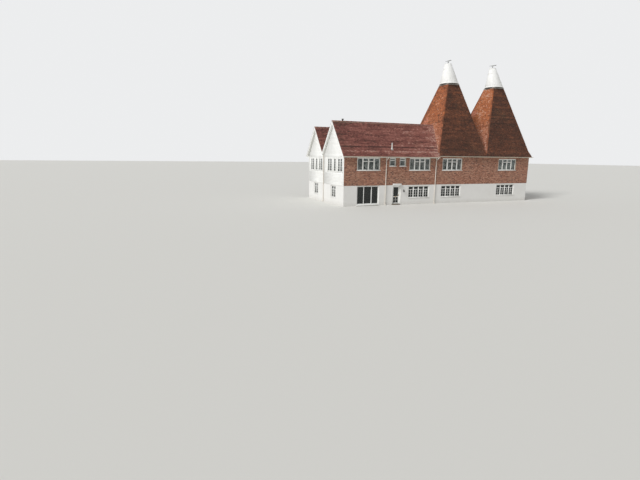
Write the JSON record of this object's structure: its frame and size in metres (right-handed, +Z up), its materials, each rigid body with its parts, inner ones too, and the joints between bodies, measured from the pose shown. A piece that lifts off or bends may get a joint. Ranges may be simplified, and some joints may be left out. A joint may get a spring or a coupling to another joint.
{
  "type": "oast house",
  "caption": "Oast house with joined brick and boarded ranges, steep tiled square kilns under leaning white cowls that turn with the wind, a front door and a sliding patio door.",
  "frame": {"origin": "on the ground, under the middle of the building's bounding box", "axes": "+X along the front towards the kilns, +Y from the front to the rear, +Z up"},
  "size_m": [24.38, 11.22, 15.62],
  "materials": {
    "concrete_floor": "matte",
    "timber_floor": "satin",
    "white_painted_masonry": "matte",
    "red_brown_brick": "matte",
    "white_boarding": "satin",
    "inner_masonry": "matte",
    "range_roof_tiles": "matte",
    "kiln_roof_tiles": "matte",
    "cowl_ironwork": "matte",
    "white_cowl_boards": "satin",
    "dark_vane_paint": "satin",
    "white_joinery": "satin",
    "window_glass": "gloss",
    "cream_rainwater_pipes": "satin",
    "white_vent_pipe": "matte",
    "black_lantern": "satin"
  },
  "bodies": {
    "building": {"ground_floor": "concrete_floor", "first_floor": "timber_floor", "valley_beam": "timber_floor", "front_wall_left": "white_painted_masonry", "front_wall_middle": "white_painted_masonry", "front_wall_right": "white_painted_masonry", "kiln_front_wall_lower": "white_painted_masonry", "west_wall_lower": "white_painted_masonry", "rear_wall_lower": "white_painted_masonry", "east_wall_lower": "white_painted_masonry", "kiln_east_wall_lower": "white_painted_masonry", "kiln_rear_wall_lower": "white_painted_masonry", "front_wall_upper": "red_brown_brick", "kiln_front_wall_upper": "red_brown_brick", "west_gable_front": "white_boarding", "west_gable_rear": "white_boarding", "rear_wall_upper": "red_brown_brick", "east_gable": "white_boarding", "kiln_east_wall_upper": "red_brown_brick", "kiln_rear_wall_upper": "red_brown_brick", "kiln_inner_walls": "inner_masonry", "front_roof_south": "range_roof_tiles", "front_roof_north": "range_roof_tiles", "rear_roof_south": "range_roof_tiles", "rear_roof_north": "range_roof_tiles", "kiln_1_roof_front_rear": "kiln_roof_tiles", "kiln_1_roof_sides": "kiln_roof_tiles", "kiln_2_roof_front_rear": "kiln_roof_tiles", "kiln_2_roof_sides": "kiln_roof_tiles", "cowl_bearings": "cowl_ironwork", "window_frames": "white_joinery", "window_glass": "window_glass", "front_door_frame": "white_joinery", "patio_door_frame": "white_joinery", "gutters": "cream_rainwater_pipes", "downpipes": "cream_rainwater_pipes", "bargeboards": "white_joinery", "vent_pipe": "white_vent_pipe", "wall_lantern": "black_lantern"},
    "front_door_leaf": {"front_door": "white_joinery", "front_door_glass": "window_glass"},
    "patio_slider": {"patio_sliding_door": "white_joinery", "patio_sliding_glass": "window_glass"},
    "first_cowl": {"cowl_1": "white_cowl_boards", "vane_1": "dark_vane_paint"},
    "second_cowl": {"cowl_2": "white_cowl_boards", "vane_2": "dark_vane_paint"}
  },
  "joints": [
    {"name": "front_door_hinge", "type": "hinge", "parent": "building", "child": "front_door_leaf", "pos_m": [-6.3165, -4.958, 1.03], "axis": [0, 0, 1], "range_deg": [0, 90]},
    {"name": "patio_door_slide", "type": "slide", "parent": "building", "child": "patio_slider", "axis": [-1, 0, 0], "range_m": [0, 0.75]},
    {"name": "first_cowl_turn", "type": "hinge", "parent": "building", "child": "first_cowl", "pos_m": [2.26, -1.95, 13.06], "axis": [0, 0, 1], "continuous": true},
    {"name": "second_cowl_turn", "type": "hinge", "parent": "building", "child": "second_cowl", "pos_m": [8.66, -1.95, 13.06], "axis": [0, 0, 1], "continuous": true}
  ]
}
